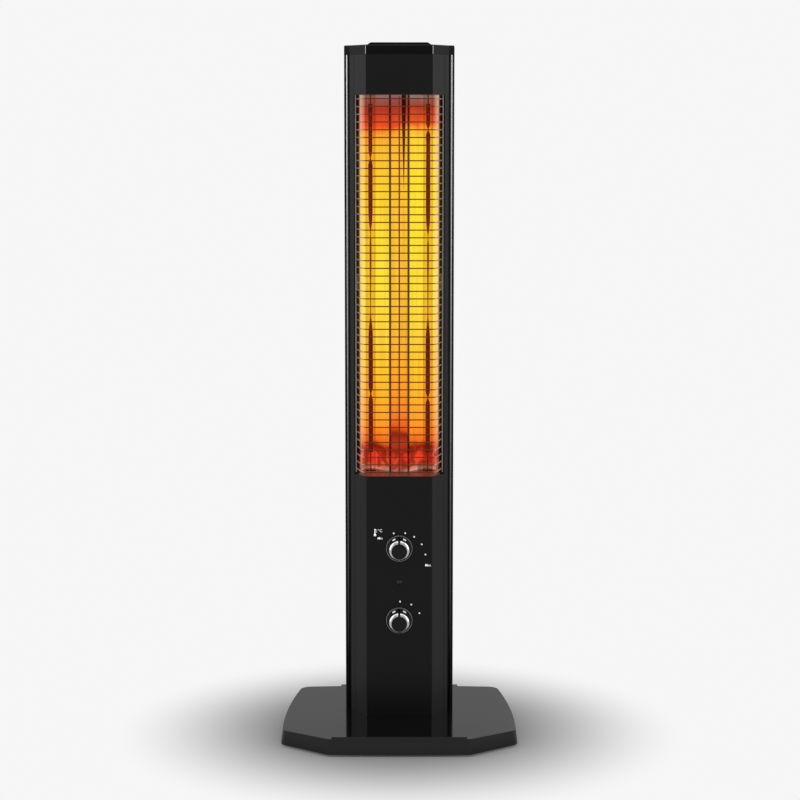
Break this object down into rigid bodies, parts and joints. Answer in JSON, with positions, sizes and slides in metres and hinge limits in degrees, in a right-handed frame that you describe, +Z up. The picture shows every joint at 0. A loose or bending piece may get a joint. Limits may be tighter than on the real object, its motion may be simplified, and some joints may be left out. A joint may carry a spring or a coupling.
{
  "type": "infrared tower heater",
  "caption": "Slim free-standing infrared heater: a faceted column with a wire-guarded reflector and twin carbon lamps, two control knobs and a flat plinth base.",
  "frame": {"origin": "middle of the base's footprint, on the floor that the rubber feet stand on", "axes": "+Z up along the column, -Y towards the front that radiates heat, +X to the right seen from the front"},
  "size_m": [0.3272, 0.2852, 0.96],
  "materials": {
    "gloss_black_moulding": "high-gloss black moulded plastic",
    "black_lacquer": "smooth satin black lacquer on aluminium and steel sheet",
    "black_knob": "satin black moulded plastic",
    "bright_trim": "polished",
    "steel": "zinc-plated sheet steel",
    "reflector_metal": "polished reflector sheet",
    "quartz": "clear quartz tube",
    "carbon": "carbon fibre ribbon on metal rods",
    "ceramic": "unglazed steatite ceramic",
    "rubber": "matt rubber",
    "dark_plastic": "moulded insulating plastic",
    "lens_red": "translucent dark red lens"
  },
  "bodies": {
    "heater": {"base_plate": "steel", "base_plate_screws": "steel", "base_shell": "gloss_black_moulding", "cable_gland": "dark_plastic", "cap_screws": "steel", "carbon_ribbon_left": "carbon", "carbon_ribbon_right": "carbon", "column_screws": "steel", "control_panel": "black_lacquer", "guard_grille": "bright_trim", "heat_shield": "steel", "indicator_body": "dark_plastic", "indicator_lens": "lens_red", "lamp_holders": "ceramic", "lamp_tube_left": "quartz", "lamp_tube_right": "quartz", "rear_cover": "black_lacquer", "rear_cover_screws": "steel", "reflector": "reflector_metal", "reflector_bracket": "steel", "reflector_end_lower": "steel", "reflector_end_upper": "steel", "rubber_feet": "rubber", "selector_body": "dark_plastic", "selector_nut": "steel", "side_rail_left": "black_lacquer", "side_rail_right": "black_lacquer", "stiffener_plate": "steel", "terminal_block": "dark_plastic", "terminal_plate": "steel", "thermostat_body": "dark_plastic", "thermostat_nut": "steel", "tilt_switch": "dark_plastic", "top_cap": "gloss_black_moulding", "top_plate": "gloss_black_moulding", "trim_strip_left": "bright_trim", "trim_strip_right": "bright_trim", "upper_fascia": "black_lacquer"},
    "thermostat_control": {"thermostat_shaft": "steel", "thermostat_knob": "black_knob", "thermostat_knob_ring": "bright_trim"},
    "selector_control": {"selector_shaft": "steel", "selector_knob": "black_knob", "selector_knob_ring": "bright_trim"},
    "tilt_pin": {"tilt_plunger": "dark_plastic"}
  },
  "joints": [
    {"name": "thermostat_turn", "type": "hinge", "parent": "heater", "child": "thermostat_control", "pos_m": [0, -0.0286, 0.265], "axis": [0, 1, 0], "range_deg": [-40, 105]},
    {"name": "selector_turn", "type": "hinge", "parent": "heater", "child": "selector_control", "pos_m": [0, -0.0286, 0.163], "axis": [0, 1, 0], "range_deg": [0, 62]},
    {"name": "tilt_pin_drop", "type": "slide", "parent": "heater", "child": "tilt_pin", "axis": [0, 0, -1], "range_m": [0, 0.006]}
  ]
}
